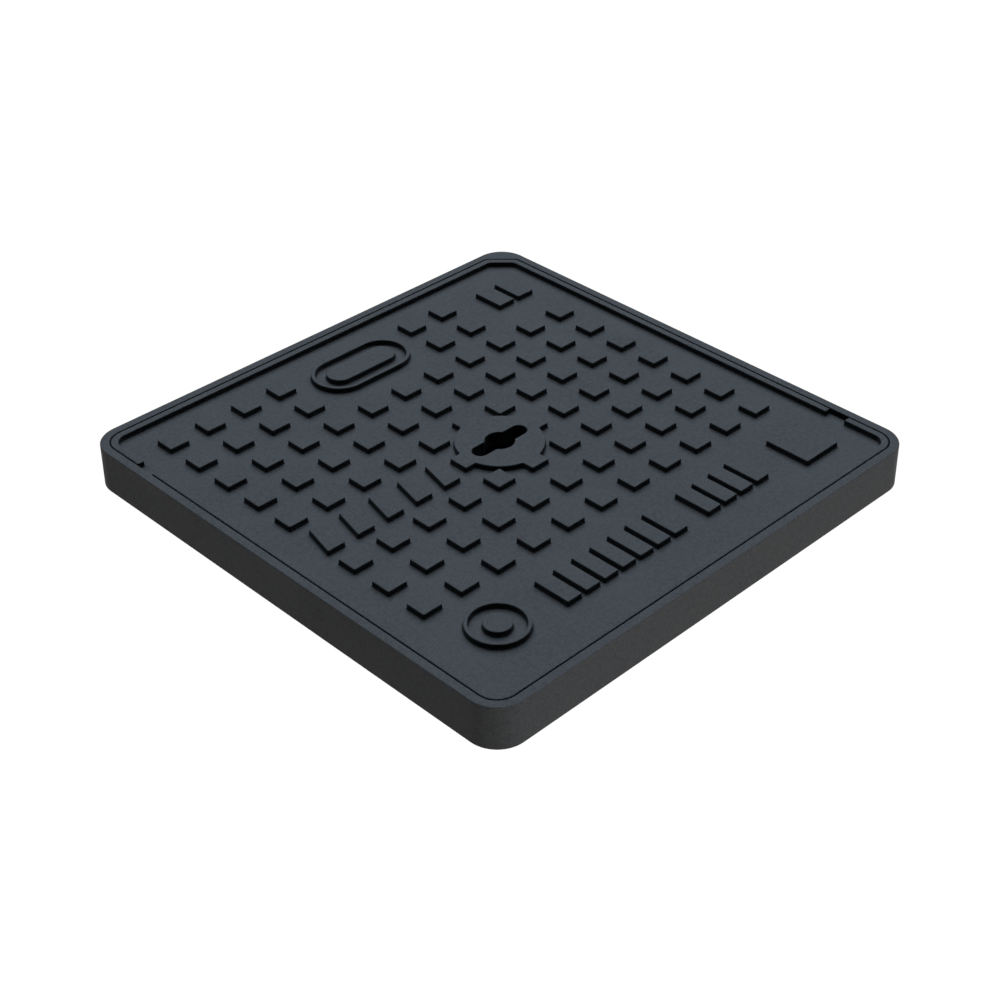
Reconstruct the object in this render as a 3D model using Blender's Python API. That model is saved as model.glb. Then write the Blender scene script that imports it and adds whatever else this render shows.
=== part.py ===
"""Square manhole cover in its frame: two iron castings, a seat gasket and a screwed-on key cup.

Metres, +Z up. The origin is the centre of the frame's bottom face. The raised marks read along +X.
The cover and frame share one cut-off corner at (+X, +Y), so the cover fits in only one way round.
"""

from math import cos, floor, pi, radians, sin

import bmesh
import bpy
from mathutils import Vector

MM = 0.001

# Driving dimensions
BASE_SIDE = 400 * MM        # outer side of the frame at the ground
HEIGHT = 32 * MM            # frame height, and the level of every raised top face
WALL_DRAFT = 0.4 * MM       # how far each outer wall leans in over the height
PITCH = 31.6 * MM           # spacing of the studs in X and in Y
RELIEF = 4.2 * MM           # height of the studs, border and marks above the plate
PLATE = 6.5 * MM            # thickness of the cover's plate
GAP = 1.2 * MM              # visible gap between cover and frame
FIT = 0.3 * MM              # clearance between pieces that rest on each other

# Frame
BASE_HALF = BASE_SIDE / 2
TOP_HALF = BASE_HALF - WALL_DRAFT
OUTER_RADIUS = 22 * MM      # outer corner radius at the base
RIM_WIDTH = 6.2 * MM        # flat rim beside the cover
EDGE = 0.7 * MM             # bevel along the rim's outer edge
WELL_HALF = TOP_HALF - RIM_WIDTH
WELL_RADIUS = 15 * MM
WELL_KEY = 17.5 * MM      # leg of the cut-off corner
SEAT_TOP = 10 * MM          # top of the ledge that carries the cover
GROOVE_DEPTH = 2 * MM
GROOVE_OUTER = 190 * MM     # half sides of the gasket groove
GROOVE_INNER = 183 * MM
CLEAR_HALF = 174 * MM       # half side of the clear opening
CLEAR_RADIUS = 10 * MM
BASE_WALL = 6.5 * MM        # outer wall at the ground
LIP = 4.5 * MM              # wall between the clear opening and the mortar pockets
MORTAR_DEPTH = 4.5 * MM     # hollows in the underside that key into the mortar bed
MORTAR_POCKETS = 4          # on each side, with solid webs between and solid corners
MORTAR_SPACING = 84 * MM
MORTAR_LENGTH = 76 * MM

# Gasket
GASKET_OUTER = GROOVE_OUTER - FIT
GASKET_INNER = GROOVE_INNER + FIT
GASKET_BOTTOM = SEAT_TOP - GROOVE_DEPTH + FIT
GASKET_TOP = SEAT_TOP + 2.3 * MM

# Cover
COVER_HALF = WELL_HALF - GAP
COVER_DRAFT = 0.4 * MM
BORDER = 5.2 * MM           # width of the raised border
BORDER_INNER = COVER_HALF - BORDER
PLATE_TOP = HEIGHT - RELIEF
PLATE_BOTTOM = PLATE_TOP - PLATE
SKIRT_BOTTOM = GASKET_TOP + FIT
SKIRT_INNER = 184 * MM      # half side inside the skirt that rests on the gasket
RIB = 6 * MM                # thickness of the ribs between the hollows
HOLLOW_COUNT = 3            # hollows in the underside along X and along Y
HOLLOW_RADIUS = 12 * MM
HOLLOW_DRAFT = 0.8 * MM
SINK = 1 * MM               # how far one shape runs into another before they are joined or cut

# Studs: a lattice centred on the cover, without the places taken by the boss and the marks
STUD = 16 * MM
STUD_DRAFT = 0.3 * MM
STUD_COLUMNS = range(-5, 6)
STUD_ROWS = range(-3, 6)

# Boss, keyhole and notches
BOSS_RADIUS = 31.5 * MM
KEY_LENGTH = 48.8 * MM
KEY_WIDTH = 12 * MM
KEY_HOLE_RADIUS = 10.5 * MM
NOTCH_WIDTH = 16.4 * MM
NOTCH_PLACE = 4.54 * PITCH
NOTCH_FLOOR = PLATE_TOP + 0.2 * MM

# Key cup and its screws
CUP_RADIUS = 28.5 * MM
CUP_WALL = 2.2 * MM
CUP_FLANGE_RADIUS = 37.5 * MM
CUP_FLANGE = 2.4 * MM
CUP_TOP = PLATE_BOTTOM - FIT
CUP_BOTTOM = 6 * MM
SCREW_CIRCLE = 33.2 * MM
SCREW_RADIUS = 2.5 * MM
SCREW_LENGTH = 8 * MM       # below the head
SCREW_HEAD_FLATS = 7 * MM
SCREW_HEAD = 3.5 * MM
SCREW_CLEARANCE = 0.4 * MM
SCREW_BEARING = CUP_TOP - CUP_FLANGE - FIT      # underside of the cup's flange, where the heads press

CORNER_STEPS = 6
ROUND_STEPS = 40
CORNERS = [(1, 1), (-1, 1), (-1, -1), (1, -1)]


# ---------------------------------------------------------------- outlines

def square_outline(half, radius, key=0.0):
    """A square with round corners. A key above 0 cuts the (+X, +Y) corner straight, with that leg."""
    points = []
    for number, (sx, sy) in enumerate(CORNERS):
        for step in range(CORNER_STEPS + 1):
            part = step / CORNER_STEPS
            if number == 0 and key > 0:
                points.append((half - key * part, half - key * (1 - part)))
                continue
            angle = pi / 2 * (number + part)
            centre = half - radius
            points.append((sx * centre + radius * cos(angle), sy * centre + radius * sin(angle)))
    return points


def well_outline(half):
    """The outline of everything that follows the keyed shape of the well, at another half side."""
    shift = half - WELL_HALF
    radius = max(WELL_RADIUS + shift, 5 * MM)
    key = max(WELL_KEY + (2 - 2 ** 0.5) * shift, 3 * MM)
    return square_outline(half, radius, key)


def base_outline(half):
    """The outline of the frame's outer wall, whose corners keep one centre as the wall leans in."""
    return square_outline(half, OUTER_RADIUS + half - BASE_HALF)


def circle_outline(radius, steps=ROUND_STEPS, centre=(0.0, 0.0)):
    angles = [2 * pi * step / steps for step in range(steps)]
    return [(centre[0] + radius * cos(a), centre[1] + radius * sin(a)) for a in angles]


def hexagon_outline(flats, steps=24):
    """A hexagon with its points spread evenly in angle, so that it can be joined to a circle."""
    points = []
    for step in range(steps):
        angle = 2 * pi * step / steps
        side = pi / 3
        from_middle = angle - side * floor(angle / side) - side / 2
        reach = flats / 2 / cos(from_middle)
        points.append((reach * cos(angle), reach * sin(angle)))
    return points


def stadium_outline(length, width, steps=10):
    """A bar along X with half-round ends."""
    radius = width / 2
    points = []
    for side in (1, -1):
        for step in range(steps + 1):
            angle = pi * step / steps - pi / 2
            points.append((side * (length / 2 - radius + radius * cos(angle)), side * radius * sin(angle)))
    return points


def bar_outline(length, width, slant=0.0):
    """A plain four-sided bar, its top edge moved along X by the slant."""
    x = length / 2
    y = width / 2
    s = slant / 2
    return [(x + s, y), (-x + s, y), (-x - s, -y), (x - s, -y)]


def rectangle_outline(length, width, radius, steps=4):
    """A rectangle along X and Y with round corners."""
    points = []
    for number, (sx, sy) in enumerate(CORNERS):
        centre = (sx * (length / 2 - radius), sy * (width / 2 - radius))
        for step in range(steps + 1):
            angle = pi / 2 * (number + step / steps)
            points.append((centre[0] + radius * cos(angle), centre[1] + radius * sin(angle)))
    return points


def moved(outline, x, y):
    return [(px + x, py + y) for px, py in outline]


def scaled_in(outline, centre, factor):
    return [(centre[0] + (x - centre[0]) * factor, centre[1] + (y - centre[1]) * factor) for x, y in outline]


# ---------------------------------------------------------------- solids

def add_loop(bm, outline, z):
    return [bm.verts.new((x, y, z)) for x, y in outline]


def join_loops(bm, lower, upper):
    count = len(lower)
    for i in range(count):
        j = (i + 1) % count
        bm.faces.new((lower[i], lower[j], upper[j], upper[i]))


def add_stack(bm, levels, ring=False):
    """Join outlines one after another. A ring closes on its first outline, others get end caps."""
    loops = [add_loop(bm, outline, z) for outline, z in levels]
    for lower, upper in zip(loops, loops[1:]):
        join_loops(bm, lower, upper)
    if ring:
        join_loops(bm, loops[-1], loops[0])
    else:
        bm.faces.new(list(reversed(loops[0])))
        bm.faces.new(loops[-1])


def add_prism(bm, outline, bottom, top):
    add_stack(bm, [(outline, bottom), (outline, top)])


def make_object(name, bm, material=None):
    bmesh.ops.recalc_face_normals(bm, faces=bm.faces[:])
    mesh = bpy.data.meshes.new(name)
    bm.to_mesh(mesh)
    bm.free()
    mesh.shade_smooth()
    mesh.set_sharp_from_angle(angle=radians(30))
    obj = bpy.data.objects.new(name, mesh)
    bpy.context.collection.objects.link(obj)
    if material:
        mesh.materials.append(material)
    return obj


def add_boolean(obj, name, operation, bm):
    """Join or cut the object with the shapes in bm, which stay in the file as a hidden helper."""
    helper = make_object(obj.name + "_" + name, bm)
    helper.hide_render = True
    helper.display_type = "WIRE"
    modifier = obj.modifiers.new(name, "BOOLEAN")
    modifier.operation = operation
    modifier.solver = "EXACT"
    modifier.object = helper


def make_material(name, colour, roughness, metallic):
    material = bpy.data.materials.new(name)
    material.use_nodes = True
    shader = material.node_tree.nodes["Principled BSDF"]
    shader.inputs["Base Color"].default_value = (*colour, 1.0)
    shader.inputs["Roughness"].default_value = roughness
    shader.inputs["Metallic"].default_value = metallic
    material.diffuse_color = (*colour, 1.0)
    return material


# ---------------------------------------------------------------- frame and gasket

def build_frame(material):
    bm = bmesh.new()
    clear = square_outline(CLEAR_HALF, CLEAR_RADIUS)
    levels = [
        (base_outline(BASE_HALF), 0.0),
        (base_outline(TOP_HALF), HEIGHT - EDGE),
        (base_outline(TOP_HALF - EDGE), HEIGHT),
        (well_outline(WELL_HALF), HEIGHT),
        (well_outline(WELL_HALF - COVER_DRAFT), SEAT_TOP),
        (well_outline(GROOVE_OUTER), SEAT_TOP),
        (well_outline(GROOVE_OUTER), SEAT_TOP - GROOVE_DEPTH),
        (well_outline(GROOVE_INNER), SEAT_TOP - GROOVE_DEPTH),
        (well_outline(GROOVE_INNER), SEAT_TOP),
        (clear, SEAT_TOP),
        (clear, 0.0),
    ]
    add_stack(bm, levels, ring=True)
    frame = make_object("frame", bm, material)
    add_boolean(frame, "mortar_pockets", "DIFFERENCE", mortar_pocket_shapes())
    return frame


def mortar_pocket_shapes():
    """Shallow hollows in the underside. The webs between them tie the outer wall to the lip."""
    bm = bmesh.new()
    inner = CLEAR_HALF + LIP
    outer = BASE_HALF - BASE_WALL
    middle = (inner + outer) / 2
    flat = rectangle_outline(MORTAR_LENGTH, outer - inner, 3 * MM, steps=2)
    upright = rectangle_outline(outer - inner, MORTAR_LENGTH, 3 * MM, steps=2)
    first = -(MORTAR_POCKETS - 1) / 2
    for number in range(MORTAR_POCKETS):
        along = (first + number) * MORTAR_SPACING
        for side in (-1, 1):
            add_prism(bm, moved(flat, along, side * middle), -SINK, MORTAR_DEPTH)
            add_prism(bm, moved(upright, side * middle, along), -SINK, MORTAR_DEPTH)
    return bm


def build_gasket(material):
    bm = bmesh.new()
    levels = [
        (well_outline(GASKET_OUTER), GASKET_BOTTOM),
        (well_outline(GASKET_OUTER), GASKET_TOP - EDGE),
        (well_outline(GASKET_OUTER - EDGE), GASKET_TOP),
        (well_outline(GASKET_INNER + EDGE), GASKET_TOP),
        (well_outline(GASKET_INNER), GASKET_TOP - EDGE),
        (well_outline(GASKET_INNER), GASKET_BOTTOM),
    ]
    add_stack(bm, levels, ring=True)
    return make_object("seat_gasket", bm, material)


# ---------------------------------------------------------------- cover

def build_cover(material):
    bm = bmesh.new()
    levels = [
        (well_outline(BORDER_INNER), PLATE_TOP),
        (well_outline(BORDER_INNER), HEIGHT),
        (well_outline(COVER_HALF), HEIGHT),
        (well_outline(COVER_HALF - COVER_DRAFT), SKIRT_BOTTOM),
    ]
    add_stack(bm, levels)
    cover = make_object("cover", bm, material)
    add_boolean(cover, "studs", "UNION", stud_shapes())
    add_boolean(cover, "boss", "UNION", boss_shape())
    add_boolean(cover, "marks", "UNION", mark_shapes())
    add_boolean(cover, "hollows", "DIFFERENCE", hollow_shapes())
    add_boolean(cover, "key_slot", "DIFFERENCE", key_slot_shape())
    add_boolean(cover, "key_hole", "DIFFERENCE", key_hole_shape())
    add_boolean(cover, "notches", "DIFFERENCE", notch_shapes())
    add_boolean(cover, "screw_holes", "DIFFERENCE", screw_hole_shapes())
    return cover


def stud_is_missing(column, row):
    under_boss = column == 0 and row == 0
    under_name_bars = row == 0 and column in range(-5, -1)
    under_oval = row >= 4 and column in range(-1, 2)
    under_size_blocks = row >= 4 and column >= 4
    return under_boss or under_name_bars or under_oval or under_size_blocks


def add_raised(bm, outline, centre, shrink):
    """A raised shape with drafted walls that reaches the level of the border."""
    add_stack(bm, [(outline, PLATE_TOP - SINK), (scaled_in(outline, centre, shrink), HEIGHT)])


def stud_shapes():
    bm = bmesh.new()
    square = bar_outline(STUD + STUD_DRAFT, STUD + STUD_DRAFT)
    shrink = (STUD - STUD_DRAFT) / (STUD + STUD_DRAFT)
    for column in STUD_COLUMNS:
        for row in STUD_ROWS:
            if not stud_is_missing(column, row):
                centre = (column * PITCH, row * PITCH)
                add_raised(bm, moved(square, *centre), centre, shrink)
    return bm


def boss_shape():
    bm = bmesh.new()
    outline = circle_outline(BOSS_RADIUS + STUD_DRAFT / 2)
    add_raised(bm, outline, (0.0, 0.0), 1 - STUD_DRAFT / BOSS_RADIUS)
    return bm


def add_raised_ring(bm, outer, inner):
    """A raised band between two outlines that have the same number of points."""
    low = PLATE_TOP - SINK
    add_stack(bm, [(outer, low), (outer, HEIGHT), (inner, HEIGHT), (inner, low)], ring=True)


def mark_shapes():
    """Plain raised shapes with no lettering: a row of blocks, slanted bars, a ring, an oval and pads."""
    bm = bmesh.new()
    add_block_row(bm)
    add_name_bars(bm)
    add_ring_mark(bm)
    add_oval_mark(bm)
    add_size_blocks(bm)
    add_corner_pad(bm)
    return bm


def add_block_row(bm):
    """Two groups of upright blocks along the near edge."""
    slot = 0.5225 * PITCH
    block = bar_outline(0.40 * PITCH, 0.93 * PITCH)
    left = -3.07 * PITCH
    for number in range(12):
        if number != 7:
            centre = (left + (number + 0.5) * slot, -4.455 * PITCH)
            add_raised(bm, moved(block, *centre), centre, 0.98)


def add_name_bars(bm):
    """Five slanted bars in the row of the keyhole."""
    slot = 0.8 * PITCH
    bar = bar_outline(0.45 * PITCH, 0.84 * PITCH, slant=0.2 * PITCH)
    for number in range(5):
        centre = (-5.3 * PITCH + (number + 0.5) * slot, 0.0)
        add_raised(bm, moved(bar, *centre), centre, 0.98)


def add_ring_mark(bm):
    """A round ring with a plain dot in its middle."""
    centre = (-4.4 * PITCH, -4.4 * PITCH)
    steps = 28
    outer = circle_outline(0.667 * PITCH, steps, centre)
    inner = circle_outline(0.575 * PITCH, steps, centre)
    add_raised_ring(bm, outer, inner)
    add_raised(bm, circle_outline(0.30 * PITCH, steps, centre), centre, 0.97)


def add_oval_mark(bm):
    """An oval band round a plain bar with round ends."""
    centre = (0.0, 4.55 * PITCH)
    outer = moved(stadium_outline(2.6 * PITCH, 1.35 * PITCH), *centre)
    inner = moved(stadium_outline(2.4 * PITCH, 1.15 * PITCH), *centre)
    add_raised_ring(bm, outer, inner)
    add_raised(bm, moved(stadium_outline(1.9 * PITCH, 0.65 * PITCH), *centre), centre, 0.98)


def add_size_blocks(bm):
    """Two plain blocks beside the cut-off corner."""
    block = bar_outline(0.50 * PITCH, 0.85 * PITCH)
    for x in (4.38 * PITCH, 5.02 * PITCH):
        centre = (x, 4.6 * PITCH)
        add_raised(bm, moved(block, *centre), centre, 0.98)


def add_corner_pad(bm):
    """A plain pad, larger than a stud, near the (+X, -Y) corner."""
    centre = (4.60 * PITCH, -4.65 * PITCH)
    pad = bar_outline(1.06 * PITCH, 1.14 * PITCH)
    add_raised(bm, moved(pad, *centre), centre, 0.985)


def hollow_shapes():
    """Drafted hollows in the underside. What is left between them is the skirt and the ribs."""
    bm = bmesh.new()
    pitch = (2 * SKIRT_INNER + RIB) / HOLLOW_COUNT
    side = pitch - RIB
    mouth = rectangle_outline(side, side, HOLLOW_RADIUS)
    shrink = 1 - 2 * HOLLOW_DRAFT / side
    first = -(HOLLOW_COUNT - 1) / 2
    for column in range(HOLLOW_COUNT):
        for row in range(HOLLOW_COUNT):
            centre = ((first + column) * pitch, (first + row) * pitch)
            outline = moved(mouth, *centre)
            roof = scaled_in(outline, centre, shrink)
            add_stack(bm, [(outline, SKIRT_BOTTOM - SINK), (outline, SKIRT_BOTTOM), (roof, PLATE_BOTTOM)])
    return bm


def key_slot_shape():
    bm = bmesh.new()
    add_prism(bm, stadium_outline(KEY_LENGTH, KEY_WIDTH), PLATE_BOTTOM - SINK, HEIGHT + SINK)
    return bm


def key_hole_shape():
    bm = bmesh.new()
    add_prism(bm, circle_outline(KEY_HOLE_RADIUS, 32), PLATE_BOTTOM - SINK, HEIGHT + SINK)
    return bm


def notch_shapes():
    """Two notches through the border, at opposite ends, where a lever lifts a stuck cover."""
    bm = bmesh.new()
    slot = bar_outline(2 * BORDER + SINK, NOTCH_WIDTH)
    for side in (1, -1):
        centre = (side * COVER_HALF, -side * NOTCH_PLACE)
        add_prism(bm, moved(slot, *centre), NOTCH_FLOOR, HEIGHT + SINK)
    return bm


def screw_places():
    angles = [radians(45 + 90 * number) for number in range(4)]
    return [(SCREW_CIRCLE * cos(a), SCREW_CIRCLE * sin(a)) for a in angles]


def screw_hole_shapes():
    """Blind holes in the underside of the plate for the four screws."""
    bm = bmesh.new()
    end = SCREW_BEARING + SCREW_LENGTH + FIT
    for place in screw_places():
        outline = circle_outline(SCREW_RADIUS + SCREW_CLEARANCE, 16, place)
        add_prism(bm, outline, PLATE_BOTTOM - SINK, end)
    return bm


# ---------------------------------------------------------------- key cup and screws

def build_key_cup(material):
    """A blind cup with a flange, open towards the keyhole."""
    inner = CUP_RADIUS - CUP_WALL
    floor_top = CUP_BOTTOM + CUP_WALL
    levels = [
        (circle_outline(CUP_RADIUS - 2 * MM), CUP_BOTTOM),
        (circle_outline(CUP_RADIUS), CUP_BOTTOM + 2 * MM),
        (circle_outline(CUP_RADIUS), CUP_TOP - CUP_FLANGE),
        (circle_outline(CUP_FLANGE_RADIUS), CUP_TOP - CUP_FLANGE),
        (circle_outline(CUP_FLANGE_RADIUS), CUP_TOP),
        (circle_outline(inner), CUP_TOP),
        (circle_outline(inner - 1 * MM), floor_top),
    ]
    bm = bmesh.new()
    add_stack(bm, levels)
    cup = make_object("key_cup", bm, material)
    add_boolean(cup, "screw_holes", "DIFFERENCE", flange_hole_shapes())
    return cup


def flange_hole_shapes():
    bm = bmesh.new()
    for place in screw_places():
        outline = circle_outline(SCREW_RADIUS + SCREW_CLEARANCE, 16, place)
        add_prism(bm, outline, CUP_TOP - CUP_FLANGE - SINK, CUP_TOP + SINK)
    return bm


def build_first_screw(material):
    """A hexagon-head screw, point up, its origin on its axis under the head's bearing face."""
    steps = 24
    levels = [
        (hexagon_outline(SCREW_HEAD_FLATS * 0.86), -SCREW_HEAD),
        (hexagon_outline(SCREW_HEAD_FLATS), -SCREW_HEAD + EDGE),
        (hexagon_outline(SCREW_HEAD_FLATS), 0.0),
        (circle_outline(SCREW_RADIUS, steps), 0.0),
        (circle_outline(SCREW_RADIUS, steps), SCREW_LENGTH - 1 * MM),
        (circle_outline(SCREW_RADIUS - 0.8 * MM, steps), SCREW_LENGTH),
    ]
    bm = bmesh.new()
    add_stack(bm, levels)
    return make_object("cup_screw_1", bm, material)


def build_cup_screws(material):
    first = build_first_screw(material)
    screws = [first]
    for number in range(2, 5):
        screw = bpy.data.objects.new("cup_screw_" + str(number), first.data)
        bpy.context.collection.objects.link(screw)
        screws.append(screw)
    for screw, (x, y) in zip(screws, screw_places()):
        screw.location = Vector((x, y, SCREW_BEARING))
    return screws


# ---------------------------------------------------------------- the whole part

def clear_scene():
    for obj in list(bpy.data.objects):
        bpy.data.objects.remove(obj, do_unlink=True)


def main():
    clear_scene()
    coated_iron = make_material("coated_iron", (0.06, 0.068, 0.076), 0.6, 0.0)
    rubber = make_material("gasket_rubber", (0.02, 0.02, 0.02), 0.8, 0.0)
    plastic = make_material("cup_plastic", (0.012, 0.012, 0.012), 0.5, 0.0)
    steel = make_material("screw_steel", (0.45, 0.45, 0.44), 0.35, 1.0)
    build_frame(coated_iron)
    build_gasket(rubber)
    lift = bpy.data.objects.new("cover_lift", None)
    bpy.context.collection.objects.link(lift)
    moving = [build_cover(coated_iron), build_key_cup(plastic), *build_cup_screws(steel)]
    for obj in moving:
        obj.parent = lift


main()
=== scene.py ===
"""Looks of a square cast iron manhole cover in its frame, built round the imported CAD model.

Metres, +Z up, in the CAD model's own frame: the origin is the centre of the frame's bottom face, the raised
marks read along +X, and the cut-off corner is at (+X, +Y). Overall sizes come from the CAD boxes, and the
other main dimensions repeat the CAD model's. Where one differs, its comment gives the CAD model's value.
"""

from math import acos, asin, ceil, cos, pi, radians, sin, sqrt, tan

import bmesh
import bpy
from mathutils import Matrix, Vector
from mathutils.geometry import delaunay_2d_cdt


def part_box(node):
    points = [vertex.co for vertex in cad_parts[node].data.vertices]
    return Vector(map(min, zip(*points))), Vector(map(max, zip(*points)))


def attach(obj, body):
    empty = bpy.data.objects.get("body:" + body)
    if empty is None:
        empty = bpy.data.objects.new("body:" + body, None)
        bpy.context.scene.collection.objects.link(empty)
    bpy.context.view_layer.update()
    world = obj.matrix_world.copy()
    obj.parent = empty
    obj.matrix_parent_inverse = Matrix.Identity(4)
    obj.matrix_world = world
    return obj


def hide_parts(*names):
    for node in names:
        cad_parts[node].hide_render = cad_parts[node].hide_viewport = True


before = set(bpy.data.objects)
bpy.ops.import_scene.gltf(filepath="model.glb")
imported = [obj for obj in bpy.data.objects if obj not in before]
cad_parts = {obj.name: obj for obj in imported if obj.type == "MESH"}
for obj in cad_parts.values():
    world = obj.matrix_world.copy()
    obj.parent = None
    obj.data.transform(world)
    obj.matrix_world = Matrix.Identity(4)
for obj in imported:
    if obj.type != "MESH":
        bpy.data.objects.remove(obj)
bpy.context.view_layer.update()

MM = 0.001
FRAME_LOW, FRAME_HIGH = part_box("frame")
COVER_LOW, COVER_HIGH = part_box("cover")
GASKET_LOW, GASKET_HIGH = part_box("seat_gasket")
CUP_LOW, CUP_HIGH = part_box("key_cup")
FIT = 0.3 * MM                      # clearance between pieces that rest on each other

# Levels
GROUND = FRAME_LOW.z
TOP = FRAME_HIGH.z                  # rim, border, studs, boss and marks
RELIEF = 4.0 * MM                   # 4.2 mm in the CAD model
PLATE_TOP = TOP - RELIEF
PLATE_BOTTOM = CUP_HIGH.z + FIT
SKIRT_BOTTOM = COVER_LOW.z
SEAT_TOP = 10 * MM                  # the ledge in the frame that holds the gasket
GROOVE_FLOOR = 8 * MM
NOTCH_FLOOR = PLATE_TOP - 0.05 * MM         # 28 mm in the CAD model

# Frame: half sides and corners in plan
BASE_HALF = FRAME_HIGH.x
BASE_RADIUS = 22 * MM
WALL_LEAN = 0.4 * MM                # how far the outer wall leans in over its height
GAP = 0.9 * MM                      # between cover and frame, 1.2 mm in the CAD model
WELL_HALF = COVER_HIGH.x + GAP
WELL_RADIUS = 15 * MM
WELL_KEY = 17.5 * MM                # leg of the cut-off corner
KEY_ROUNDING = 6 * MM               # where the cut-off corner meets the sides, sharp in the CAD model
GROOVE_OUTER = 190 * MM
GROOVE_INNER = 183 * MM
CLEAR_HALF = 174 * MM
CLEAR_RADIUS = 10 * MM

# Mortar pockets in the frame's underside
BASE_WALL = 6.5 * MM                # outer wall at the ground
LIP = 4.5 * MM                      # wall between the clear opening and the pockets
MORTAR_DEPTH = 4.5 * MM
MORTAR_LENGTH = 76 * MM
MORTAR_SPACING = 84 * MM
MORTAR_POCKETS = 4                  # on each side of the frame
MORTAR_RADIUS = 3 * MM
MORTAR_LEAN = 0.6 * MM              # how far a pocket's walls lean in towards its roof
MORTAR_ROOF = 1 * MM                # fillet round a pocket's roof

# Cover: border, and the skirt and ribs underneath
COVER_HALF = COVER_HIGH.x
COVER_LEAN = 0.4 * MM               # how far the skirt leans in towards its lower edge
BORDER = 5.2 * MM
SKIRT_INNER = 184 * MM              # half side inside the skirt
RIB = 6 * MM                        # thickness of the ribs
HOLLOW_PLACES = (-1, 0, 1)          # columns and rows of hollows between the ribs
HOLLOW_RADIUS = 12 * MM
HOLLOW_LEAN = 0.8 * MM              # how far a hollow's walls lean in towards its roof
HOLLOW_MOUTH = 1 * MM               # rounding round a hollow's mouth
HOLLOW_ROOF = 2 * MM                # fillet round a hollow's roof

# Relief on the cover
PITCH = 31.6 * MM                   # spacing of the studs
STUD = 15.8 * MM                    # 16 mm in the CAD model
STUD_COLUMNS = range(-5, 6)
STUD_ROWS = range(-3, 6)
BOSS_RADIUS = 31.5 * MM
BOSS_CORNER = 1.5 * MM              # rounding where a stud grows out of the boss
KEY_LENGTH = 48.8 * MM
KEY_WIDTH = 12 * MM
KEY_HOLE_RADIUS = 10.5 * MM
KEY_CORNER = 1.2 * MM               # rounding where the keyhole's slot meets its round hole
NOTCH_WIDTH = 16.4 * MM
NOTCH_PLACE = 4.54 * PITCH

# Plain marks on the cover, in stud pitches: sizes along X and Y, and centres
LINE_BLOCK = (0.40, 0.93)
LINE_START = -3.07                  # left end of the line of blocks
LINE_SPACING = 0.5225
LINE_ROW = -4.455
LINE_PLACES = 12
LINE_SPACE = 7                      # the place in the line that stays empty
BAR = (0.45, 0.84)
BAR_SLANT = 0.2
BAR_START = -4.9
BAR_SPACING = 0.8
BAR_COUNT = 5
CORNER_BLOCK = (0.50, 0.85)
CORNER_BLOCK_COLUMNS = (4.38, 5.02)
CORNER_BLOCK_ROW = 4.6
PAD = (1.06, 1.14)
PAD_PLACE = (4.60, -4.65)
RING = (0.667, 0.575, 0.30)         # radii of the band's outside and inside, and of the disc in its middle
RING_PLACE = (-4.4, -4.4)
OVAL = ((2.6, 1.35), (2.4, 1.15), (1.9, 0.65))      # the band's outside and inside, and its middle
OVAL_PLACE = (0, 4.55)

# Cast edges
LEAN = 0.3 * MM                     # how far a relief wall leans in over its height
FOOT = 0.7 * MM                     # fillet where a relief wall meets the plate
CREST = 0.65 * MM                   # rounding along a raised edge
RIM_CREST = 0.8 * MM                # rounding along the frame's outer top edge
COVER_CREST = 0.75 * MM             # rounding on the cover's side of the gap
WELL_CREST = 0.45 * MM              # rounding on the frame's side of the gap
KEYHOLE_CREST = 0.5 * MM            # rounding along the keyhole's upper edge
LOWER_EDGE = 0.5 * MM               # rounding along edges underneath
PLAN_ROUNDING = 0.9 * MM            # corners of studs and blocks, seen from above
ARC_ERROR = 0.02 * MM               # how far a chord may lie inside its arc
LONGEST_TURN = radians(15)
EDGE_STEPS = 4
QUARTER = [pi / 2 * step / EDGE_STEPS for step in range(EDGE_STEPS + 1)]     # angles along a rounded edge
SHARP_ANGLE = radians(35)           # faces that meet at more than this keep a hard edge
NOTCH_CUTTER_REACH = 2 * MM         # how far the notches' cutter stands above the cover

# Gasket
GASKET_CHAMFER = 0.4 * MM           # along its lower edges
GASKET_SIDE = 1.3 * MM              # how far below its top the upright sides end
GASKET_SHOULDER = 1.2 * MM          # how far its rounded upper edges drop
GASKET_RIDGE = 0.35 * MM            # height of the sealing ridge along its middle
GASKET_STEPS = 12

# Key cup
CUP_RADIUS = 28.5 * MM              # outside of its wall
CUP_WALL = 2.2 * MM
CUP_FLANGE = 2.4 * MM
CUP_LEAN = 1 * MM                   # how far the inside opens towards the mouth
CUP_FLOOR_ROUNDING = 2 * MM         # round the floor, inside and outside
CUP_ROOT = 1 * MM                   # fillet where the wall meets the flange
CUP_LIP = 0.5 * MM                  # rounding round the mouth and the flange

# Screws
SCREWS = range(1, 5)
SCREW_HOLE_RADIUS = 2.9 * MM
SCREW_HEAD = 3.5 * MM               # height of the head with its washer face
HEAD_FLATS = 6.2 * MM               # 7 mm in the CAD model, which has no washer face
HEAD_CHAMFER = ((-0.7 * MM, 0, 0), (-0.15 * MM, 0.35 * MM, 1), (0, 0.6 * MM, 0))    # (growth, height, edge)
WASHER = 0.9 * MM                   # thickness of the washer face
WASHER_RADIUS = 4.0 * MM
WASHER_RIM = 0.5 * MM               # upright part of its rim
WASHER_CHAMFER = 0.3 * MM
SHANK_RADIUS = 2.5 * MM
THREAD_TURNS = 11
THREAD_DEPTH = 0.35 * MM
THREAD_FLANK = 0.4 * MM             # height of a flank
TIP = 1 * MM                        # length left free of thread at the end
TIP_CHAMFER = 0.8 * MM

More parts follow.
